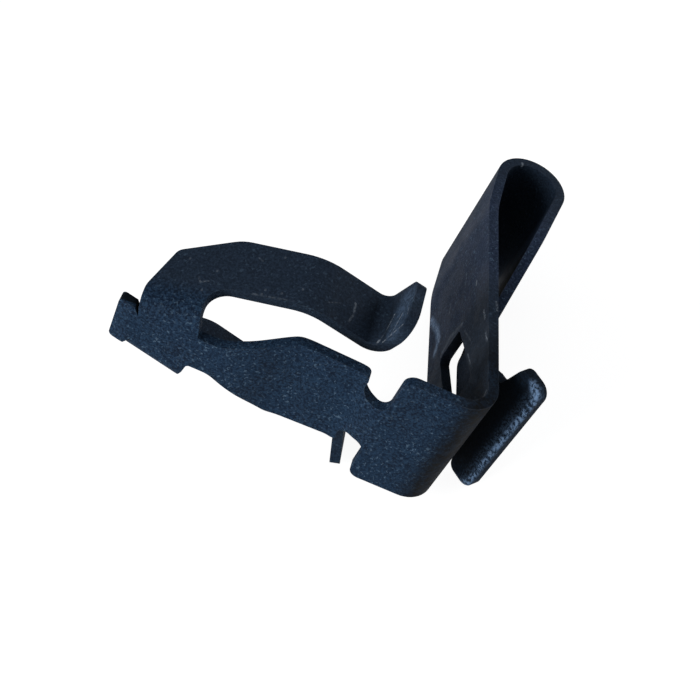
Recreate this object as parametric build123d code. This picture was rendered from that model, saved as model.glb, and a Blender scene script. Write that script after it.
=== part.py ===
"""Trim clip folded from one piece of spring-steel sheet.

A flat spine runs from a narrow nose tab to a wide end section.  Beside the nose two side arms are
folded up from the spine and reach forward over it, pinch in and flare out again at the tips.  The wide
end section turns up into a leg, which closes over in a loop, comes down beside itself as a waisted
return leg and flares out into a broad wing.

While it is folded, the clip lies in its own frame: X runs along the spine toward the loop, Y is the
direction the leg stands in, and Z runs across the strip, with the middle of the strip at zero.  The
front face of the spine is at Y zero, and the inner face line of the leg passes through the origin.
"""
import os
from math import cos, radians, sin, tan

from build123d import *

# sheet
SHEET = 0.8
STRIP_HALF_WIDTH = 5.8

# nose tab and the base that carries the arms
NOSE_X = -25.75
NOSE_HALF_WIDTH = 1.95
NOSE_LENGTH = 1.15
NOSE_LIFT = 0.55
NOSE_CORNER = 0.35

# arm folds along the two edges of the base, which spread apart toward the spine
FOLD_X = -23.28
FOLD_HALF_WIDTH = 2.66
FOLD_SPREAD = 16.2
FOLD_ANGLE = 80.5
FOLD_INNER_RADIUS = 0.6

# arm root and arm, measured along the fold and up the arm
ROOT_BACK = 1.23
ROOT_BACK_HEIGHT = 1.8
ROOT_SHOULDER_HEIGHT = 5.2
ROOT_FRONT = 3.03
ARM_TOP = 7.15
ARM_UNDERSIDE = 2.83
ARM_TOP_START = 4.1
SLOT_END_RADIUS = 1.5
ARM_STRAIGHT = 10.0
ARM_PINCH_ANGLE = 34.4
ARM_PINCH_LENGTH = 5.84
ARM_PINCH_RADIUS = 4.2
ARM_FLARE_ANGLE = 91.5
NEAR_FLARE_LENGTH = 3.93
FAR_FLARE_LENGTH = 5.5
ARM_FLARE_RADIUS = 1.2
TIP_TOP_CORNER = 0.5
NEAR_TIP_UNDER_CORNER = 1.9
FAR_TIP_UNDER_CORNER = 0.5

# spine: neck, raised paddle and the notches before the end section
NECK_HALF_WIDTH = 1.52
NECK_START_X = -19.9
NECK_END_X = -18.3
PADDLE_START_X = -13.55
PADDLE_HALF_WIDTH = 3.79
PADDLE_SHOULDER_HALF_WIDTH = 4.0
PADDLE_END_X = -8.05
PADDLE_CORNER = 0.4
PADDLE_LIFT = 1.06
RISE_START_X = -16.6
RISE_END_X = -13.4
RISE_RADIUS = 7.0
DROP_START_X = -8.3
DROP_END_X = -6.7
DROP_RADIUS = 2.4
NOTCH_HALF_WIDTH = 2.0
NOTCH_START_X = -8.2
NOTCH_END_X = -6.07
END_CORNER = 0.85

# leg and loop, measured along the leg from the spine
LEG_LEAN = 8.9
LEG_INNER_RADIUS = 1.6
LOOP_BEND_HEIGHT = 21.2
LOOP_BEND_ANGLE = 10.5
LOOP_BEND_RADIUS = 11.0
LOOP_BEND_TO_LOOP = 4.64
LOOP_RADIUS = 2.58
LOOP_CLOSING = 20.0

# window through the leg
WINDOW_TOP = 12.2
WINDOW_BOTTOM = 5.7
WINDOW_TOP_FAR = 3.3
WINDOW_TOP_NEAR = 0.55
WINDOW_BOTTOM_FAR = 1.8
WINDOW_BOTTOM_NEAR = 2.95
WINDOW_CORNER = 0.5

# return leg beside the leg, and the wing it ends in
LEG_GAP = 0.22
RETURN_RADIUS = 2.5
TAPER_TOP = 19.0
WAIST_TOP = 12.2
WAIST_BOTTOM = 7.7
WAIST_HALF_WIDTH = 2.2
WING_ROOT_HALF_WIDTH = 3.6
WING_FOLD_HEIGHT = 6.6
WING_FOLD_ANGLE = 38.4
WING_FOLD_RADIUS = 1.8
WING_LENGTH = 4.47
WING_HALF_WIDTH = 6.39
WING_SHOULDER_START = 1.35
WING_SHOULDER_END = 2.1
WING_CORNER = 1.0
WING_SHOULDER_ROUND = 0.7

# how the finished clip lies: on the far arm's tip, the wing and the loop
REST_TURN = 17.95
REST_TIP = 1.92

MIDDLE = SHEET / 2
SPAN = 2 * (LOOP_BEND_HEIGHT + LOOP_BEND_TO_LOOP)


def folded_sheet(edges, reach):
    """Sheet following a line of runs and bends, reaching equally far to both sides of it."""
    return extrude(trace(edges, line_width=SHEET), amount=reach, both=True)


def outline_prism(points, radii, depth):
    """A prism through an outline whose corners are rounded one by one."""
    edge = FilletPolyline(*points, radius=radii, close=True)
    return extrude(make_face(edge.edges()), amount=depth, both=True)


def even_prism(points, radii, depth):
    """A prism through an outline that is the same on both sides of the middle of the strip."""
    other_side = [(along, -across) for along, across in reversed(points)]
    return outline_prism([*points, *other_side], [*radii, *reversed(radii)], depth)


def leg_point(outward, along):
    """A point beside the leg: how far outward from its inner face and how far along it."""
    lean = radians(LEG_LEAN)
    return (outward * cos(lean) - along * sin(lean), outward * sin(lean) + along * cos(lean))


def loop_start():
    """Where the loop begins, above the gentle bend at the top of the leg."""
    bend = radians(LOOP_BEND_ANGLE)
    return leg_point(
        MIDDLE + LOOP_BEND_TO_LOOP * sin(bend),
        LOOP_BEND_HEIGHT + LOOP_BEND_TO_LOOP * cos(bend),
    )


def spine_outline():
    """Plan of the nose, base, neck, paddle and end section, cut across the spine."""
    spread = radians(FOLD_SPREAD)
    setback = (FOLD_INNER_RADIUS + SHEET) * tan(radians(FOLD_ANGLE) / 2)

    def fold_start(along):
        return (
            FOLD_X + along * cos(spread) + setback * sin(spread),
            FOLD_HALF_WIDTH + along * sin(spread) - setback * cos(spread),
        )

    points = [
        (NOSE_X, NOSE_HALF_WIDTH),
        (NOSE_X + NOSE_LENGTH, NOSE_HALF_WIDTH),
        fold_start(-ROOT_BACK),
        fold_start(ROOT_FRONT),
        (NECK_START_X, NECK_HALF_WIDTH),
        (NECK_END_X, NECK_HALF_WIDTH),
        (PADDLE_START_X, PADDLE_SHOULDER_HALF_WIDTH),
        (PADDLE_END_X, PADDLE_HALF_WIDTH),
        (NOTCH_START_X, NOTCH_HALF_WIDTH),
        (NOTCH_END_X, NOTCH_HALF_WIDTH),
        (NOTCH_END_X, STRIP_HALF_WIDTH),
        (SPAN, STRIP_HALF_WIDTH),
    ]
    notch_round = 0.4 * (NOTCH_END_X - NOTCH_START_X)
    radii = [NOSE_CORNER, 0, 0, 0, 0.3, 2, 1.5, PADDLE_CORNER, notch_round, notch_round, END_CORNER, 0]
    return Rot(90, 0, 0) * even_prism(points, radii, SPAN)


def spine_and_leg():
    """Nose to the end of the loop, in one run of sheet."""
    corner = leg_point(MIDDLE, 0)
    spine_corner = (corner[0] - (MIDDLE - corner[1]) * tan(radians(LEG_LEAN)), MIDDLE)
    lifted = MIDDLE + PADDLE_LIFT
    leg_radius = LEG_INNER_RADIUS + MIDDLE
    spine = FilletPolyline(
        (NOSE_X - NOSE_LENGTH, MIDDLE + NOSE_LIFT),
        (NOSE_X + NOSE_LENGTH, MIDDLE),
        (RISE_START_X, MIDDLE),
        (RISE_END_X, lifted),
        (DROP_START_X, lifted),
        (DROP_END_X, MIDDLE),
        spine_corner,
        leg_point(MIDDLE, LOOP_BEND_HEIGHT),
        loop_start(),
        radius=[3, RISE_RADIUS, RISE_RADIUS, DROP_RADIUS, DROP_RADIUS, leg_radius, LOOP_BEND_RADIUS],
    )
    turn = 180 + LOOP_CLOSING - LOOP_BEND_ANGLE
    loop = JernArc(spine @ 1, spine % 1, LOOP_RADIUS, -turn)
    sheet = folded_sheet([*spine.edges(), *loop.edges()], STRIP_HALF_WIDTH + SHEET)
    return (sheet & spine_outline()) - window()


def window():
    """Slanted window through the leg, set off toward the far side."""
    points = [
        (WINDOW_TOP, -WINDOW_TOP_FAR),
        (WINDOW_TOP, WINDOW_TOP_NEAR),
        (WINDOW_BOTTOM, WINDOW_BOTTOM_NEAR),
        (WINDOW_BOTTOM, -WINDOW_BOTTOM_FAR),
    ]
    cutter = outline_prism(points, [WINDOW_CORNER] * 4, SHEET + LEG_GAP / 2)
    return leg_face() * cutter


def leg_face():
    """The inner face of the leg: local X runs up the leg and local Y across it."""
    return Plane((0, 0, 0), x_dir=leg_point(0, 1), z_dir=leg_point(1, 0))


def return_leg():
    """From the end of the loop down beside the leg and out into the wing."""
    closing = radians(LOOP_CLOSING)
    bend = radians(LOOP_BEND_ANGLE)
    out = MIDDLE + LOOP_BEND_TO_LOOP * sin(bend) + LOOP_RADIUS * (cos(bend) + cos(closing))
    rise = LOOP_BEND_TO_LOOP * cos(bend) - LOOP_RADIUS * (sin(bend) + sin(closing))
    beside = SHEET + LEG_GAP + MIDDLE
    start_height = LOOP_BEND_HEIGHT + rise
    meet_height = start_height - (out - beside) / tan(closing)
    fold = radians(WING_FOLD_ANGLE)
    reach = WING_LENGTH + SHEET
    tip = leg_point(beside + reach * sin(fold), WING_FOLD_HEIGHT - reach * cos(fold))
    path = FilletPolyline(
        leg_point(out, start_height),
        leg_point(beside, meet_height),
        leg_point(beside, WING_FOLD_HEIGHT),
        tip,
        radius=[RETURN_RADIUS, WING_FOLD_RADIUS],
    )
    edges = path.edges().sort_by_distance(tip)
    leg = folded_sheet(edges[1:], WING_HALF_WIDTH + SHEET) & return_leg_outline()
    root = leg_point(beside, WING_FOLD_HEIGHT)
    wing = folded_sheet(edges[:1], WING_HALF_WIDTH + SHEET) & wing_outline(root)
    return leg + wing


def return_leg_outline():
    """Width of the return leg: full at the loop, waisted, wider again at the wing."""
    points = [
        (0, WING_ROOT_HALF_WIDTH),
        (WING_FOLD_HEIGHT, WING_ROOT_HALF_WIDTH),
        (WAIST_BOTTOM, WAIST_HALF_WIDTH),
        (WAIST_TOP, WAIST_HALF_WIDTH),
        (TAPER_TOP, STRIP_HALF_WIDTH),
        (SPAN, STRIP_HALF_WIDTH),
    ]
    return leg_face() * even_prism(points, [0, 1, 1, 1, 3, 0], SPAN)


def wing_outline(root):
    """Shoulders and rounded corners of the wing, seen square to its face."""
    heading = radians(90 + LEG_LEAN + 180 + WING_FOLD_ANGLE)
    points = [
        (0, WING_ROOT_HALF_WIDTH),
        (WING_SHOULDER_START, WING_ROOT_HALF_WIDTH),
        (WING_SHOULDER_END, WING_HALF_WIDTH),
        (WING_LENGTH, WING_HALF_WIDTH),
    ]
    radii = [0, 0.4, WING_SHOULDER_ROUND, WING_CORNER]
    face = Plane(root, x_dir=(cos(heading), sin(heading)), z_dir=(sin(heading), -cos(heading)))
    return face * even_prism(points, radii, 2 * SHEET)


def arm(flare_length, under_corner):
    """An arm as it stands on the near side, folded up from the base."""
    spread = radians(FOLD_SPREAD)
    rise = radians(FOLD_ANGLE)
    along = Vector(cos(spread), 0, sin(spread))
    outward = Vector(-sin(spread), 0, cos(spread))
    up = outward * cos(rise) + Vector(0, 1, 0) * sin(rise)
    origin = (FOLD_X, 0, FOLD_HALF_WIDTH)
    setback = (FOLD_INNER_RADIUS + SHEET) * tan(rise / 2)
    fold = Plane(origin, x_dir=outward, z_dir=-along) * arm_fold(rise)
    blade = Plane(origin, x_dir=along, z_dir=-up) * arm_blade(setback, flare_length, under_corner)
    outline = Plane(origin, x_dir=along, z_dir=along.cross(up)) * arm_outline()
    return (fold + blade) & outline


def arm_fold(rise):
    """Cross-section of the fold, from the flat base to where the arm runs straight up."""
    corner_out = -MIDDLE * tan(rise / 2)
    reach = 3 * (FOLD_INNER_RADIUS + SHEET)
    path = FilletPolyline(
        (corner_out - reach, MIDDLE),
        (corner_out, MIDDLE),
        (corner_out + reach * cos(rise), MIDDLE + reach * sin(rise)),
        radius=FOLD_INNER_RADIUS + MIDDLE,
    )
    return folded_sheet(path.edges()[1:2], ROOT_FRONT + ROOT_BACK)


def arm_blade(setback, flare_length, under_corner):
    """The arm above its fold: straight, pinched in, then flared out to a rounded tip."""
    inward = radians(-ARM_PINCH_ANGLE)
    outward = radians(ARM_FLARE_ANGLE - ARM_PINCH_ANGLE)
    pinch = Vector(ARM_STRAIGHT, -MIDDLE)
    flare = pinch + Vector(cos(inward), sin(inward)) * ARM_PINCH_LENGTH
    tip = flare + Vector(cos(outward), sin(outward)) * flare_length
    path = FilletPolyline(
        (-ROOT_BACK, -MIDDLE), pinch, flare, tip, radius=[ARM_PINCH_RADIUS, ARM_FLARE_RADIUS]
    )
    root = trace(path.edges().sort_by_distance((-ROOT_BACK, -MIDDLE))[0], line_width=SHEET)
    band = extrude(trace(path.edges(), line_width=SHEET), amount=ARM_UNDERSIDE - ARM_TOP)
    band = rounded_tip(Pos(0, 0, -ARM_UNDERSIDE) * band, tip, under_corner)
    return band + extrude(Pos(0, 0, -setback) * root, amount=setback - ARM_TOP)


def rounded_tip(band, tip, under_corner):
    """Round the two corners at the end of the arm."""
    top_edge = band.edges().sort_by_distance((tip.X, tip.Y, -ARM_TOP))[0]
    band = fillet(top_edge, TIP_TOP_CORNER)
    under_edge = band.edges().sort_by_distance((tip.X, tip.Y, -ARM_UNDERSIDE))[0]
    return fillet(under_edge, under_corner)


def arm_outline():
    """Side outline of the arm: leaning back edge, sloped shoulder, top edge and the slot below."""
    reach = ARM_STRAIGHT + ARM_PINCH_LENGTH + FAR_FLARE_LENGTH
    points = [
        (-ROOT_BACK, -SHEET),
        (-ROOT_BACK, ROOT_BACK_HEIGHT),
        (0, ROOT_SHOULDER_HEIGHT),
        (ARM_TOP_START, ARM_TOP),
        (reach, ARM_TOP),
        (reach, ARM_UNDERSIDE),
        (ROOT_FRONT, ARM_UNDERSIDE),
        (ROOT_FRONT, -SHEET),
    ]
    return outline_prism(points, [0, 2, 0.8, 3, 0, 0, SLOT_END_RADIUS, 0], reach)


near_arm = arm(NEAR_FLARE_LENGTH, NEAR_TIP_UNDER_CORNER)
far_arm = mirror(arm(FAR_FLARE_LENGTH, FAR_TIP_UNDER_CORNER), about=Plane.XY)
clip = spine_and_leg() + return_leg() + near_arm + far_arm


# The clip is laid down on its far side and stood over the origin by the middle of its footprint.
clip = Rot(-REST_TIP, 0, 0) * (Rot(0, REST_TURN, 0) * clip)
box = clip.bounding_box()
clip = Pos(-box.center().X, -box.center().Y, -box.min.Z) * clip

os.makedirs("parts", exist_ok=True)
export_step(clip, "parts/trim_clip.step")
print("solids", len(clip.solids()), "size", clip.bounding_box().size, "placed by", box.center(), box.min.Z)
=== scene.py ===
# %% [markdown]
# # A trim clip of folded spring steel
# The clip is one piece of thin spring-steel sheet.  It was blanked out flat, folded in a press,
# hardened, and then dipped in a thin blue-black coating.  Trim panels are held to sheet metal by
# clips like this one: two arms grip a rib of the panel, and the sprung leg snaps into a hole.
#
# Its shape comes from the CAD model, which is loaded first and stays where it is.  A folded part has
# no softness that Blender would add, so the work here is in what a CAD solid doesn't hold: the tiny
# round on the blanked edges, the grain of the coating, its scratches, and the highlights and shade
# that are painted into its colour.

# %% Load the clip
import bpy
from math import radians
from mathutils import Euler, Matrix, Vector


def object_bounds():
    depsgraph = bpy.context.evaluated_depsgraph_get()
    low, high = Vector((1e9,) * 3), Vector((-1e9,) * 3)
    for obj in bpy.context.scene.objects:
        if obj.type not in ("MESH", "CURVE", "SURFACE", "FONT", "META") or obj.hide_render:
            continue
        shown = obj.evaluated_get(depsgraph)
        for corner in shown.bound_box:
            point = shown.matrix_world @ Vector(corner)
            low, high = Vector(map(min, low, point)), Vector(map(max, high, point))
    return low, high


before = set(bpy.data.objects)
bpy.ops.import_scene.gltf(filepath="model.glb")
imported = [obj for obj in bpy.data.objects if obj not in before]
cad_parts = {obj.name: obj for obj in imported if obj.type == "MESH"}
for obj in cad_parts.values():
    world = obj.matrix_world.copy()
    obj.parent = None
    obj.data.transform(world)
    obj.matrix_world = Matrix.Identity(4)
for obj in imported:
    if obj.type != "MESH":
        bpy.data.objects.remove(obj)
CAD_LOW, CAD_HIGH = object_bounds()
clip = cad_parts["trim_clip"]
MM = 0.001
print("clip", [round(side / MM, 2) for side in CAD_HIGH - CAD_LOW], "mm")

# %% [markdown]
# ## The blanked edges
# A press shears the sheet, so one side of each cut edge rolls over a little and the other side keeps
# a fine burr.  Light catches that narrow round all along the outline, and without it an edge looks
# like folded paper.  The edge could be painted on, but a real round bends the light from every side,
# so a bevel goes over every edge that turns by more than sixty degrees.  The bends themselves are
# made of small facets that turn far less, so the bevel leaves them alone.
#
# The CAD mesh keeps its own vertices.  A weld joins its separate faces for the bevel, and weighted
# normals keep the flat faces flat in the light.

# %% Round the edges
def add_modifier(piece, name, kind, **settings):
    """Puts one modifier on a piece and gives it its settings."""
    modifier = piece.modifiers.new(name, kind)
    for setting, value in settings.items():
        setattr(modifier, setting, value)
    return modifier


SAME_POINT = 0.0005 * MM
EDGE_ROUND = 0.07 * MM
SHARP_TURN = radians(60)

add_modifier(clip, "join faces", "WELD", merge_threshold=SAME_POINT)
add_modifier(clip, "edge round", "BEVEL", width=EDGE_ROUND, segments=3, limit_method="ANGLE",
             angle_limit=SHARP_TURN, use_clamp_overlap=True)
add_modifier(clip, "even light", "WEIGHTED_NORMAL", mode="FACE_AREA_WITH_ANGLE", weight=100,
             keep_sharp=False)
clip.data.shade_smooth()
print("edge round", clip.modifiers["edge round"].width / MM, "mm")

# %% [markdown]
# ## Building a material from nodes
# The finish is wired up from shader nodes.  Two short helpers keep that readable: one adds a node
# and sets what is written on it, the other joins an output to an input.

# %% Node helpers
def add_node(tree, kind, name, **settings):
    """Adds a node, named for what it does, and sets its options."""
    node = tree.nodes.new(kind)
    node.name = name
    node.label = name
    for setting, value in settings.items():
        setattr(node, setting, value)
    return node


def join(tree, output, entry):
    """Joins one node's output to another's input."""
    tree.links.new(output, entry)


def new_group(name, inputs, outputs):
    """Makes an empty node group with named sockets, and returns it with its two end nodes."""
    group = bpy.data.node_groups.new(name, "ShaderNodeTree")
    for label, kind, default in inputs:
        socket = group.interface.new_socket(label, in_out="INPUT", socket_type=kind)
        socket.default_value = default
    for label, kind in outputs:
        group.interface.new_socket(label, in_out="OUTPUT", socket_type=kind)
    start = add_node(group, "NodeGroupInput", "given")
    end = add_node(group, "NodeGroupOutput", "result")
    return group, start, end


def place_group(tree, group, name, **values):
    """Puts a node group into a tree and sets the inputs that are given by name."""
    node = add_node(tree, "ShaderNodeGroup", name)
    node.node_tree = group
    for label, value in values.items():
        node.inputs[label.replace("_", " ")].default_value = value
    return node


def number(tree, operation, name, first, second, clamp=False):
    """Arithmetic on two numbers, each of which is a value or another node's output."""
    node = add_node(tree, "ShaderNodeMath", name, operation=operation, use_clamp=clamp)
    for entry, given in zip(node.inputs, (first, second)):
        if isinstance(given, (int, float)):
            entry.default_value = given
        else:
            join(tree, given, entry)
    return node.outputs["Value"]


def spread(tree, name, value, low, high, to_low=0.0, to_high=1.0):
    """Stretches the part of a value between low and high to a new range, easing at both ends."""
    node = add_node(tree, "ShaderNodeMapRange", name, interpolation_type="SMOOTHSTEP")
    ends = {"From Min": low, "From Max": high, "To Min": to_low, "To Max": to_high}
    for label, given in ends.items():
        node.inputs[label].default_value = given
    join(tree, value, node.inputs["Value"])
    return node.outputs["Result"]


def tint(tree, name, amount, under, over):
    """Mixes two colours, each of which is a colour or another node's output."""
    node = add_node(tree, "ShaderNodeMix", name, data_type="RGBA")
    for entry, given in ((node.inputs[6], under), (node.inputs[7], over)):
        if isinstance(given, tuple):
            entry.default_value = given
        else:
            join(tree, given, entry)
    join(tree, amount, node.inputs["Factor"])
    return node.outputs[2]


print("helpers ready")

# %% [markdown]
# ## Coating grain
# The coating is a few hundredths of a millimetre thick over etched steel.  It dries with a fine,
# uneven grain, about a fifth of a millimetre across, and here and there a crystal stands up and
# catches the light as a pale fleck.  An image could give this, but it would need a flat layout of the
# folded sheet.  Noise in the clip's own space has no seams, so three layers of it are used: a fine
# one for the grain, the highest tops of a second one for the flecks, and a broad one that makes both
# come and go, because a single even noise looks printed.

# %% Grain group
CLOUDS_PER_METRE = 380.0
CRYSTALS_PER_GRAIN = 0.8

grain_group, given, result = new_group(
    "coating grain",
    [("Grain Size", "NodeSocketFloat", 0.2), ("Flecks", "NodeSocketFloat", 1.0)],
    [("Grain", "NodeSocketFloat"), ("Flecks", "NodeSocketFloat"), ("Clouds", "NodeSocketFloat"),
     ("Height", "NodeSocketFloat")],
)
place = add_node(grain_group, "ShaderNodeTexCoord", "where")
per_metre = number(grain_group, "DIVIDE", "grains in a metre", 1.0 / MM,
                   given.outputs["Grain Size"])
fine = add_node(grain_group, "ShaderNodeTexNoise", "fine grain")
fine.inputs["Detail"].default_value = 2.0
fine.inputs["Roughness"].default_value = 0.75
join(grain_group, place.outputs["Object"], fine.inputs["Vector"])
join(grain_group, per_metre, fine.inputs["Scale"])
clouds = add_node(grain_group, "ShaderNodeTexNoise", "clouds")
clouds.inputs["Scale"].default_value = CLOUDS_PER_METRE
clouds.inputs["Detail"].default_value = 5.0
clouds.inputs["Roughness"].default_value = 0.62
join(grain_group, place.outputs["Object"], clouds.inputs["Vector"])
crystals = add_node(grain_group, "ShaderNodeTexNoise", "crystals")
crystals.inputs["Detail"].default_value = 1.0
crystals.inputs["Distortion"].default_value = 0.6
join(grain_group, place.outputs["Object"], crystals.inputs["Vector"])
crystals_per_metre = number(grain_group, "MULTIPLY", "crystals in a metre", per_metre,
                            CRYSTALS_PER_GRAIN)
join(grain_group, crystals_per_metre, crystals.inputs["Scale"])
print("coating grain has", len(grain_group.nodes), "nodes so far")

# %% Grain group, what it puts out
cloud_mask = spread(grain_group, "cloud mask", clouds.outputs[0], 0.32, 0.68)
flecks = spread(grain_group, "highest crystals", crystals.outputs[0], 0.60, 0.74)
patchy = spread(grain_group, "come and go", clouds.outputs[0], 0.30, 0.70, 0.35, 1.0)
flecks = number(grain_group, "MULTIPLY", "uneven flecks", flecks, patchy)
shown_flecks = number(grain_group, "MULTIPLY", "how many", flecks, given.outputs["Flecks"])
grain_mask = spread(grain_group, "grain mask", fine.outputs[0], 0.37, 0.65)
height = number(grain_group, "ADD", "relief", fine.outputs[0], flecks)
for label, value in (("Flecks", shown_flecks), ("Grain", grain_mask), ("Clouds", cloud_mask),
                     ("Height", height)):
    join(grain_group, value, result.inputs[label])
print("coating grain", [socket.name for socket in grain_group.interface.items_tree])

# %% [markdown]
# ## Worn edges
# Clips rub against each other in the barrel where they are coated and in the box they are sold in,
# so the coating is thinnest on the outer edges and bare steel shows there in a thin broken line.
# A bevelled normal differs from the true one only beside an edge, so the angle between the two
# makes the mask, and the grain breaks the line up.

# %% Edge group
EDGE_WEAR_PER_METRE = 900.0

edge_group, given, result = new_group(
    "worn edge",
    [("Reach", "NodeSocketFloat", 0.1 * MM), ("Break Up", "NodeSocketFloat", 0.5)],
    [("Edge", "NodeSocketFloat")],
)
rounded = add_node(edge_group, "ShaderNodeBevel", "rounded normal", samples=8)
join(edge_group, given.outputs["Reach"], rounded.inputs["Radius"])
true_normal = add_node(edge_group, "ShaderNodeNewGeometry", "true normal")
likeness = add_node(edge_group, "ShaderNodeVectorMath", "how alike", operation="DOT_PRODUCT")
join(edge_group, rounded.outputs["Normal"], likeness.inputs[0])
join(edge_group, true_normal.outputs["Normal"], likeness.inputs[1])
edge_mask = spread(edge_group, "beside an edge", likeness.outputs["Value"], 0.995, 0.86)
rub = add_node(edge_group, "ShaderNodeTexNoise", "rub")
rub.inputs["Scale"].default_value = EDGE_WEAR_PER_METRE
rub.inputs["Detail"].default_value = 5.0
where = add_node(edge_group, "ShaderNodeTexCoord", "where")
join(edge_group, where.outputs["Object"], rub.inputs["Vector"])
broken = spread(edge_group, "broken", rub.outputs[0], 0.38, 0.62)
softened = add_node(edge_group, "ShaderNodeMix", "how broken", data_type="FLOAT")
softened.inputs[2].default_value = 1.0
join(edge_group, given.outputs["Break Up"], softened.inputs["Factor"])
join(edge_group, broken, softened.inputs[3])
worn_edge = number(edge_group, "MULTIPLY", "worn", edge_mask, softened.outputs[0])
join(edge_group, worn_edge, result.inputs["Edge"])
print("worn edge", [socket.name for socket in edge_group.interface.items_tree])

# %% [markdown]
# ## Painted shade in folds and hollows
# Inside the loop, in the mouth of the window and between the wing and the leg the colour is painted
# nearly black, as shade.
# Painting those places by hand would mean following every bend.  The shape knows them already: a
# point in a hollow sees little of the open air, so ambient occlusion, limited to the clip itself and
# to a few millimetres, is the mask.

# %% Hollow group
OPEN_ABOVE = 0.85
CLOSED_BELOW = 0.45

hollow_shade_group, given, result = new_group(
    "hollow",
    [("Reach", "NodeSocketFloat", 4.0 * MM)],
    [("Hollow", "NodeSocketFloat")],
)
# Painted shade: the less open air a point sees, the darker its colour is painted.
openness = add_node(hollow_shade_group, "ShaderNodeAmbientOcclusion", "open air", samples=12,
                    only_local=True)
join(hollow_shade_group, given.outputs["Reach"], openness.inputs["Distance"])
closed_in = spread(hollow_shade_group, "closed in", openness.outputs["AO"], OPEN_ABOVE, CLOSED_BELOW)
join(hollow_shade_group, closed_in, result.inputs["Hollow"])
print("hollow", [socket.name for socket in hollow_shade_group.interface.items_tree])

# %% [markdown]
# ## Painted highlights, painted shade and scratches
# The lip of the wing, the near flared tip and a place low on the leg get pale painted highlights, a
# few places get painted shade, and other clips have left short scratches.  All are the same thing at
# a few sizes: a mark that follows a line from one point to another and fades out sideways.  One group
# makes them all.  It takes the two end points, half the width, the share of that width that is at
# full strength, and how far grain breaks the mark up.

# %% Mark group
mark_group, given, result = new_group(
    "line mark",
    [("From", "NodeSocketVector", (0.0, 0.0, 0.0)), ("To", "NodeSocketVector", (0.0, 0.0, 0.001)),
     ("Half Width", "NodeSocketFloat", 1.0 * MM), ("Break Up", "NodeSocketFloat", 0.5),
     ("Grain Size", "NodeSocketFloat", 0.2), ("Core", "NodeSocketFloat", 0.25)],
    [("Mark", "NodeSocketFloat")],
)


def vector_step(tree, operation, name, first, second):
    """Arithmetic on two vectors that come from other nodes."""
    node = add_node(tree, "ShaderNodeVectorMath", name, operation=operation)
    join(tree, first, node.inputs[0])
    join(tree, second, node.inputs[1])
    return node


where = add_node(mark_group, "ShaderNodeTexCoord", "where")
along = vector_step(mark_group, "SUBTRACT", "line", given.outputs["To"], given.outputs["From"])
offset = vector_step(mark_group, "SUBTRACT", "from start", where.outputs["Object"],
                     given.outputs["From"])
reach = vector_step(mark_group, "DOT_PRODUCT", "reach", offset.outputs["Vector"],
                    along.outputs["Vector"])
whole = vector_step(mark_group, "DOT_PRODUCT", "whole", along.outputs["Vector"],
                    along.outputs["Vector"])
how_far = number(mark_group, "DIVIDE", "how far along", reach.outputs["Value"],
                 whole.outputs["Value"], clamp=True)
nearest = add_node(mark_group, "ShaderNodeVectorMath", "nearest point", operation="SCALE")
join(mark_group, along.outputs["Vector"], nearest.inputs[0])
join(mark_group, how_far, nearest.inputs["Scale"])
away = vector_step(mark_group, "DISTANCE", "away", offset.outputs["Vector"],
                   nearest.outputs["Vector"])
share = number(mark_group, "DIVIDE", "share of width", away.outputs["Value"],
               given.outputs["Half Width"])
fade = add_node(mark_group, "ShaderNodeMapRange", "fades out", interpolation_type="SMOOTHSTEP")
fade.inputs["From Min"].default_value = 1.0
join(mark_group, share, fade.inputs["Value"])
join(mark_group, given.outputs["Core"], fade.inputs["From Max"])
body = fade.outputs["Result"]
print("line mark has", len(mark_group.nodes), "nodes so far")

# %% Mark group, broken up
per_metre = number(mark_group, "DIVIDE", "grains in a metre", 1.0 / MM,
                   given.outputs["Grain Size"])
breaks = add_node(mark_group, "ShaderNodeTexNoise", "breaks")
breaks.inputs["Detail"].default_value = 3.0
breaks.inputs["Roughness"].default_value = 0.7
join(mark_group, where.outputs["Object"], breaks.inputs["Vector"])
join(mark_group, per_metre, breaks.inputs["Scale"])
gaps = spread(mark_group, "gaps", breaks.outputs[0], 0.42, 0.60)
kept = add_node(mark_group, "ShaderNodeMix", "how broken", data_type="FLOAT")
kept.inputs[2].default_value = 1.0
join(mark_group, given.outputs["Break Up"], kept.inputs["Factor"])
join(mark_group, gaps, kept.inputs[3])
mark = number(mark_group, "MULTIPLY", "mark", body, kept.outputs[0])
join(mark_group, mark, result.inputs["Mark"])
print("line mark", [socket.name for socket in mark_group.interface.items_tree])
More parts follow.
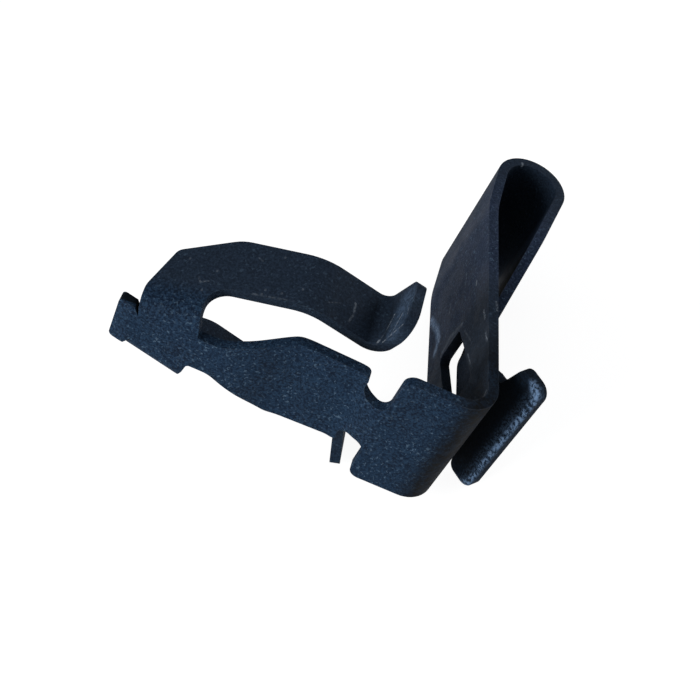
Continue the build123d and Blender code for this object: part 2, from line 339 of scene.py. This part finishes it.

# %% [markdown]
# ## Where it is worn, and where light and shade are painted
# The marks are placed one by one, in millimetres.  The faces next to the fold behind the plate and
# the cut edge of the nose are painted near-black as shade, and the outside of the bend, where the
# sheet was bent round, is painted darker, as shade.  The upper leg is more violet, and lighter as
# painted light where it is lit, and the wing as navy as the plate.  Painted highlights lie pale along
# the lip of the wing, on the near flare and low on the leg.  There are short scratches on the flare,
# the arm and the leg, a burr beside the window painted as a pale highlight, and small pale specks on
# the arm.
#
# Each row is one mark: its name, its two ends, half its width, the share of that width at full
# strength, how broken it is, the size of the gaps, and its strength.

# %% The marks on this clip
# Painted shade: the faces next to the fold behind the plate and the nose's cut edge are painted
# near-black.
SHADE_MARKS = (
    ("fold behind the plate", (9.6, -9.3, 1.0), (13.2, -8.9, 13.0), 5.0, 0.3, 0.2, 1.0, 0.85),
    ("nose edge", (-14.1, -13.3, 16.95), (-13.2, -13.3, 16.8), 0.45, 0.6, 0.0, 1.0, 0.90),
)
# Painted shade: the outside of the bend, turned away from the key light, is painted dark grey.
BEND_SHADE = (
    ("outside of the bend", (7.9, -13.9, 1.5), (11.6, -13.5, 13.0), 2.9, 0.25, 0.3, 0.5, 1.0),
)
# The upper leg: a violet tint, and lighter grain as painted light where the leg is lit.
LIT_UPPER_LEG = (
    ("upper leg", (4.5, 4.0, 2.0), (8.5, 4.4, 12.0), 9.0, 0.4, 0.3, 1.5, 0.8),
)
WING = (
    ("wing", (10.4, -10.2, 0.0), (14.4, -9.8, 13.0), 4.0, 0.7, 0.0, 1.0, 1.0),
)
# Painted highlights: pale blue where the wing lip, the near flare and the low leg catch the light.
HIGHLIGHT_MARKS = (
    ("wing lip", (10.8, -10.95, 0.4), (14.7, -10.55, 12.0), 0.42, 0.2, 1.0, 0.28, 0.75),
    ("wing face", (10.8, -10.8, 0.4), (14.6, -10.4, 12.0), 1.0, 0.2, 1.0, 0.18, 0.11),
    ("wing end", (14.5, -10.3, 11.6), (14.1, -10.1, 12.4), 0.7, 0.2, 0.9, 0.3, 0.7),
    ("wing tip", (10.9, -10.8, 0.5), (10.6, -10.5, 0.1), 0.6, 0.2, 0.9, 0.3, 0.6),
    ("near flare", (4.2, -10.4, 15.3), (4.6, -8.0, 16.3), 1.3, 0.25, 0.7, 0.3, 0.16),
    ("leg shine", (5.4, 3.5, 2.35), (6.15, 1.5, 3.55), 0.6, 0.1, 0.6, 0.25, 0.6),
    ("leg shine 2", (6.15, 1.5, 3.55), (6.45, 0.0, 3.95), 0.65, 0.1, 0.6, 0.25, 0.7),
    ("leg shine 3", (6.45, 0.0, 3.95), (6.35, -0.8, 3.3), 0.6, 0.1, 0.6, 0.25, 0.6),
)
SCRATCHES = (
    ("flare scratch", (3.86, -8.7, 15.2), (3.1, -10.7, 14.1), 0.12, 0.25, 0.9, 0.3, 0.8),
    ("flare scratch 2", (4.7, -10.4, 16.2), (3.5, -10.7, 14.4), 0.10, 0.25, 0.9, 0.25, 0.8),
    ("flare scratch 3", (4.5, -9.2, 16.0), (3.9, -10.6, 15.1), 0.09, 0.25, 0.9, 0.25, 0.6),
    ("flare scratch 4", (4.9, -7.6, 16.6), (4.9, -9.6, 16.5), 0.12, 0.25, 0.8, 0.3, 0.5),
    ("arm scratch", (1.07, -8.65, 15.5), (1.20, -9.5, 15.4), 0.14, 0.25, 0.9, 0.3, 0.6),
    ("arm scratch 2", (1.20, -9.5, 15.4), (0.95, -10.3, 15.3), 0.13, 0.25, 0.9, 0.3, 0.6),
    ("leg scratch", (9.7, -3.7, 12.1), (10.0, -4.6, 12.3), 0.22, 0.1, 1.0, 0.12, 0.9),
    ("leg scratch 2", (10.2, -6.1, 12.4), (10.4, -7.0, 12.6), 0.20, 0.1, 1.0, 0.12, 0.8),
    ("leg scratch 3", (8.7, 0.4, 10.9), (8.75, 0.06, 10.85), 0.16, 0.25, 0.4, 0.2, 0.8),
    ("leg streak", (6.92, 2.1, 6.2), (6.96, 1.25, 5.95), 0.14, 0.25, 0.6, 0.2, 0.35),
    ("leg streak 2", (7.74, 2.9, 9.1), (7.88, 1.6, 8.9), 0.16, 0.25, 0.7, 0.2, 0.25),
    ("window streak", (9.2, -5.8, 9.45), (9.55, -7.1, 9.9), 0.14, 0.1, 0.7, 0.15, 0.55),
    # Painted highlight: the burr beside the window is painted as a pale line where it catches the
    # light.
    ("window burr glint", (8.3, -1.95, 8.4), (7.5, -1.5, 6.3), 0.30, 0.2, 0.6, 0.3, 0.30),
    ("window burr glint 2", (7.5, -1.5, 6.3), (7.0, -2.1, 4.45), 0.30, 0.2, 0.6, 0.3, 0.30),
    ("window burr glint 3", (8.55, -2.95, 8.85), (9.2, -4.8, 9.9), 0.14, 0.1, 0.8, 0.15, 0.30),
    ("edge nick", (10.53, -3.2, 12.7), (10.72, -4.0, 12.7), 0.16, 0.1, 1.0, 0.12, 0.5),
    ("bend crease", (11.05, -11.5, 12.45), (10.98, -11.85, 12.2), 0.12, 0.25, 0.4, 0.2, 0.5),
    ("loop top burr", (10.3, 13.6, 12.2), (10.35, 13.2, 12.1), 0.16, 0.25, 0.3, 0.2, 0.9),
    ("loop lint", (12.0, 12.2, 7.9), (12.3, 11.9, 8.4), 0.12, 0.25, 0.5, 0.2, 0.5),
    ("arm curl", (-9.5, -10.7, 17.3), (-9.3, -11.05, 17.25), 0.10, 0.25, 0.8, 0.2, 0.30),
    ("arm curl 2", (-9.3, -11.05, 17.25), (-8.75, -10.85, 17.3), 0.10, 0.25, 0.8, 0.2, 0.35),
    ("arm streak", (-6.0, -8.05, 17.55), (-5.65, -8.25, 17.5), 0.10, 0.25, 0.7, 0.2, 0.25),
    ("arm streak 2", (-0.6, -10.0, 16.55), (0.15, -9.4, 16.1), 0.08, 0.25, 0.8, 0.2, 0.22),
    ("slot edge", (-5.6, -11.1, 17.15), (-2.7, -11.0, 17.0), 0.12, 0.25, 0.9, 0.25, 0.26),
)
ARM_SPECKS = (
    (-10.55, -9.35, 17.5), (-9.0, -11.7, 17.15), (-8.45, -9.9, 17.4), (-4.25, -7.6, 17.55),
    (-4.85, -10.6, 17.2), (-2.4, -9.9, 17.2), (-3.7, -10.6, 17.15), (-5.0, -11.0, 17.15),
)
SPECK_LENGTH = 0.05
SCRATCHES += tuple(
    ("arm speck", (x, y, z), (x, y + SPECK_LENGTH, z), 0.12, 0.25, 0.5, 0.15, 0.30)
    for x, y, z in ARM_SPECKS
)
print("pools", len(SHADE_MARKS), "dull", len(BEND_SHADE), "rubs", len(HIGHLIGHT_MARKS), "scratches", len(SCRATCHES))

# %% [markdown]
# ## The coated steel
# The base colour is a deep navy, nearly black in the clouds and a dull blue on the grain.  It is a
# thin matt layer like paint, so the steel under it doesn't show as metal, and it reflects much less
# than a gloss paint would.  The flat front plate came out of the dip bluer than the arms, so a slate
# version of the same grain takes over behind it.  A violet one takes over on the upper leg, made
# lighter there as painted light where the leg is lit.

# %% Coated steel, colour
DEEP_NAVY = (0.0030, 0.0080, 0.0190, 1.0)
NAVY = (0.0060, 0.0150, 0.0330, 1.0)
BLUE_GRAIN = (0.0165, 0.0380, 0.0740, 1.0)
SLATE = (0.0090, 0.0155, 0.0270, 1.0)
SLATE_GRAIN = (0.0165, 0.0280, 0.0480, 1.0)
VIOLET_GREY = (0.0100, 0.0180, 0.0400, 1.0)
VIOLET_GRAIN = (0.0300, 0.0450, 0.0850, 1.0)
PALE_FLECK = (0.0700, 0.1150, 0.1700, 1.0)
LOW_REFLECTION = 0.06

coated_steel = bpy.data.materials.new("navy_coated_steel")
coated_steel.use_nodes = True
tree = coated_steel.node_tree
tree.nodes.clear()
output = add_node(tree, "ShaderNodeOutputMaterial", "surface")
paint = add_node(tree, "ShaderNodeBsdfPrincipled", "coating")
paint.inputs["Specular IOR Level"].default_value = LOW_REFLECTION
join(tree, paint.outputs["BSDF"], output.inputs["Surface"])


def all_marks(rows):
    """Places one mark for each row and returns the strongest of them."""
    strongest = None
    for name, start, end, half_width, core, break_up, grain_size, strength in rows:
        mark = place_group(tree, mark_group, name, Half_Width=half_width * MM, Core=core,
                           Break_Up=break_up, Grain_Size=grain_size)
        mark.inputs["From"].default_value = Vector(start) * MM
        mark.inputs["To"].default_value = Vector(end) * MM
        shown = number(tree, "MULTIPLY", name + " shown", mark.outputs["Mark"], strength)
        if strongest is None:
            strongest = shown
        else:
            strongest = number(tree, "MAXIMUM", name + " or", strongest, shown)
    return strongest


print("material", coated_steel.name)

# %% Coated steel, grain and flecks
GRAIN_SIZE = 0.18
BEHIND_PLATE = -10.9 * MM
ON_PLATE = -12.8 * MM
FLECKS_BEHIND = 0.35

grain = place_group(tree, grain_group, "grain", Grain_Size=GRAIN_SIZE)
place = add_node(tree, "ShaderNodeTexCoord", "where")
split = add_node(tree, "ShaderNodeSeparateXYZ", "how far back")
join(tree, place.outputs["Object"], split.inputs["Vector"])
front = spread(tree, "front plate", split.outputs["Y"], BEHIND_PLATE, ON_PLATE)
navy_share = number(tree, "MAXIMUM", "front or wing", front, all_marks(WING))
lit_leg_share = all_marks(LIT_UPPER_LEG)
clouded = tint(tree, "clouds", grain.outputs["Clouds"], DEEP_NAVY, NAVY)
navy = tint(tree, "navy grain", grain.outputs["Grain"], clouded, BLUE_GRAIN)
slate = tint(tree, "slate grain", grain.outputs["Grain"], SLATE, SLATE_GRAIN)
violet = tint(tree, "violet grain", grain.outputs["Grain"], VIOLET_GREY, VIOLET_GRAIN)
sided = tint(tree, "navy in front", navy_share, slate, navy)
sided = tint(tree, "violet on the leg", lit_leg_share, sided, violet)
rough_coat = number(tree, "MAXIMUM", "front or leg", front, lit_leg_share)
fewer = spread(tree, "fewer behind", rough_coat, 0.0, 1.0, FLECKS_BEHIND, 1.0)
fleck_share = number(tree, "MULTIPLY", "fleck share", grain.outputs["Flecks"], fewer)
flecked = tint(tree, "flecks", fleck_share, sided, PALE_FLECK)
print("colours", len(tree.nodes), "nodes")

# %% Coated steel, wear
# Painted shade: near-black for the hollows, the fold behind the plate and the nose edge.
PAINTED_SHADE_BLACK = (0.0030, 0.0042, 0.0055, 1.0)
# Painted shade: dark grey for the outside of the bend.
BEND_SHADE_GREY = (0.0030, 0.0035, 0.0045, 1.0)
# Painted highlight: pale blue for the wing lip, the near flare and the low leg.
PAINTED_HIGHLIGHT_BLUE = (0.1800, 0.2900, 0.4700, 1.0)
SCRATCH_GREY = (0.1800, 0.2100, 0.2500, 1.0)
HOLLOW_SHADE_STRENGTH = 0.95
BARE_EDGE_STRENGTH = 0.12

edge = place_group(tree, edge_group, "edges", Break_Up=1.0)
# Painted shade in the hollows, from the group above.
hollow = place_group(tree, hollow_shade_group, "hollows")
hollow_shade = number(tree, "MULTIPLY", "hollow strength", hollow.outputs["Hollow"], HOLLOW_SHADE_STRENGTH)
# Painted shade: the shade marks and the hollows together.
painted_shade = number(tree, "MAXIMUM", "pooled or hollow", all_marks(SHADE_MARKS), hollow_shade)
# Painted highlights, pale blue, from the rows above.
painted_highlight = all_marks(HIGHLIGHT_MARKS)
worn = tint(tree, "painted bend shade", all_marks(BEND_SHADE), flecked, BEND_SHADE_GREY)
worn = tint(tree, "painted_shade", painted_shade, worn, PAINTED_SHADE_BLACK)
worn = tint(tree, "painted_highlight", painted_highlight, worn, PAINTED_HIGHLIGHT_BLUE)
bare = number(tree, "MULTIPLY", "bare edge strength", edge.outputs["Edge"], BARE_EDGE_STRENGTH)
worn = tint(tree, "bare edge", bare, worn, SCRATCH_GREY)
worn = tint(tree, "scratched", all_marks(SCRATCHES), worn, SCRATCH_GREY)
join(tree, worn, paint.inputs["Base Color"])
print("coated steel nodes", len(tree.nodes))

# %% Coated steel, gloss and relief
SMOOTHEST = 0.66
ROUGHEST = 0.78
ROUGHER_IN_PAINTED_SHADE = 0.20
SMOOTHER_UNDER_HIGHLIGHT = 0.30
RELIEF_STRENGTH = 0.35
RELIEF_HEIGHT = 0.02 * MM

gloss = spread(tree, "gloss", grain.outputs["Clouds"], 0.0, 1.0, SMOOTHEST, ROUGHEST)
# Rougher under the painted shade.
matter = number(tree, "MULTIPLY", "matter where pooled", painted_shade, ROUGHER_IN_PAINTED_SHADE)
gloss = number(tree, "ADD", "gloss in the fold", gloss, matter)
# Smoother under the painted highlights.
smoother_at_highlight = number(tree, "MULTIPLY", "polish", painted_highlight, SMOOTHER_UNDER_HIGHLIGHT)
gloss = number(tree, "SUBTRACT", "gloss where rubbed", gloss, smoother_at_highlight, clamp=True)
join(tree, gloss, paint.inputs["Roughness"])
relief = add_node(tree, "ShaderNodeBump", "relief")
relief.inputs["Strength"].default_value = RELIEF_STRENGTH
relief.inputs["Distance"].default_value = RELIEF_HEIGHT
join(tree, grain.outputs["Height"], relief.inputs["Height"])
join(tree, relief.outputs["Normal"], paint.inputs["Normal"])
clip.material_slots[0].material = coated_steel
print("slot", clip.material_slots[0].name, "nodes", len(tree.nodes))

# %% [markdown]
# ## Floor
# The clip lies on a plain white table.  To the camera and to gloss the table gives most of its white
# by itself, so the ground stays white out to the corners, while the rest of it is ordinary paint
# that takes the soft shadow under the clip.

# %% White table
TABLE_SIDE = 3.0
TABLE_PAINT = (0.78, 0.78, 0.78, 1.0)
FAINT_PAINT = (0.22, 0.22, 0.22, 1.0)
OWN_WHITE = 0.905


def flat_square(name, size, height):
    """A square plane lying flat at a height."""
    half = size / 2
    turns = ((-1, -1), (1, -1), (1, 1), (-1, 1))
    corners = [(across * half, along * half, height) for across, along in turns]
    mesh = bpy.data.meshes.new(name)
    mesh.from_pydata(corners, [], [(0, 1, 2, 3)])
    square = bpy.data.objects.new(name, mesh)
    bpy.context.scene.collection.objects.link(square)
    return square


table = flat_square("table", TABLE_SIDE, CAD_LOW.z)
white_table = bpy.data.materials.new("white_table")
white_table.use_nodes = True
tree = white_table.node_tree
tree.nodes.clear()
output = add_node(tree, "ShaderNodeOutputMaterial", "surface")
paint = add_node(tree, "ShaderNodeBsdfDiffuse", "paint")
paint.inputs["Color"].default_value = TABLE_PAINT
faint = add_node(tree, "ShaderNodeBsdfDiffuse", "faint paint")
faint.inputs["Color"].default_value = FAINT_PAINT
glow = add_node(tree, "ShaderNodeEmission", "own white")
glow.inputs["Strength"].default_value = OWN_WHITE
seen = add_node(tree, "ShaderNodeAddShader", "as seen")
join(tree, faint.outputs["BSDF"], seen.inputs[0])
join(tree, glow.outputs["Emission"], seen.inputs[1])
rays = add_node(tree, "ShaderNodeLightPath", "kind of ray")
either = number(tree, "MAXIMUM", "camera or gloss", rays.outputs["Is Camera Ray"],
                rays.outputs["Is Glossy Ray"])
either = number(tree, "MAXIMUM", "or glass", either, rays.outputs["Is Transmission Ray"])
choice = add_node(tree, "ShaderNodeMixShader", "choice")
join(tree, either, choice.inputs["Fac"])
join(tree, paint.outputs["BSDF"], choice.inputs[1])
join(tree, seen.outputs["Shader"], choice.inputs[2])
join(tree, choice.outputs["Shader"], output.inputs["Surface"])
table.data.materials.append(white_table)
print("table at", table.data.vertices[0].co.z)

# %% [markdown]
# ## Light
# Small dark metal is lit with big soft sources close by, which draw its edges with broad, quiet
# highlights.  The strongest panel stands low in front to the left, so the plate is brighter than the
# edges that face up and the plate shades the wing behind it.  A weak one hangs above, a third lights
# the far side, and the room fills the rest.

# %% Room and lamps
ROOM_TINT = (0.93, 0.96, 1.0, 1.0)
ROOM_STRENGTH = 0.28
WHITE = (1.0, 1.0, 1.0, 1.0)
LAMPS = (
    # name, place from the middle of the clip in metres, side in metres, power in watts
    ("key_panel", (-0.181, -0.204, 0.111), 0.14, 0.72),
    ("top_panel", (0.02, 0.05, 0.32), 0.25, 0.10),
    ("back_panel", (0.23, 0.17, 0.07), 0.20, 0.40),
)

room = bpy.data.worlds.new("room")
bpy.context.scene.world = room
room.use_nodes = True
tree = room.node_tree
tree.nodes.clear()
output = add_node(tree, "ShaderNodeOutputWorld", "surroundings")
fill = add_node(tree, "ShaderNodeBackground", "fill")
fill.inputs["Color"].default_value = ROOM_TINT
fill.inputs["Strength"].default_value = ROOM_STRENGTH
bright = add_node(tree, "ShaderNodeBackground", "white ground")
bright.inputs["Color"].default_value = WHITE
bright.inputs["Strength"].default_value = 1.0
rays = add_node(tree, "ShaderNodeLightPath", "kind of ray")
choice = add_node(tree, "ShaderNodeMixShader", "choice")
join(tree, rays.outputs["Is Camera Ray"], choice.inputs["Fac"])
join(tree, fill.outputs["Background"], choice.inputs[1])
join(tree, bright.outputs["Background"], choice.inputs[2])
join(tree, choice.outputs["Shader"], output.inputs["Surface"])


def lamp_panel(name, place, target, size, power):
    """A square soft lamp at a place, turned to face a target."""
    light = bpy.data.lights.new(name, "AREA")
    light.size = size
    light.energy = power
    panel = bpy.data.objects.new(name, light)
    bpy.context.scene.collection.objects.link(panel)
    panel.location = place
    panel.rotation_euler = (target - place).to_track_quat("-Z", "Y").to_euler()


middle = (CAD_LOW + CAD_HIGH) / 2
for name, offset, size, power in LAMPS:
    lamp_panel(name, middle + Vector(offset), middle, size, power)

# %% [markdown]
# ## Camera
# The camera looks down on the clip from the front, a little from the right, close enough that the
# near arm and the loop stand out larger than the nose.

# %% Camera
CAMERA_PLACE = (0.01134134, -0.06637135, 0.07664544)
CAMERA_TURN = (41.556835, -2.284130, 12.849330)
LENS = 62.779
SENSOR_WIDTH = 36.0
NEAREST = 0.005
FURTHEST = 10.0

camera = bpy.data.objects.new("camera", bpy.data.cameras.new("camera"))
bpy.context.scene.collection.objects.link(camera)
camera.location = CAMERA_PLACE
camera.rotation_euler = Euler([radians(angle) for angle in CAMERA_TURN], "XYZ")
camera.data.lens = LENS
camera.data.sensor_width = SENSOR_WIDTH
camera.data.clip_start = NEAREST
camera.data.clip_end = FURTHEST
bpy.context.scene.camera = camera
bpy.context.scene.view_settings.view_transform = "Standard"
print("camera", [round(value, 4) for value in camera.location], "lens", LENS)
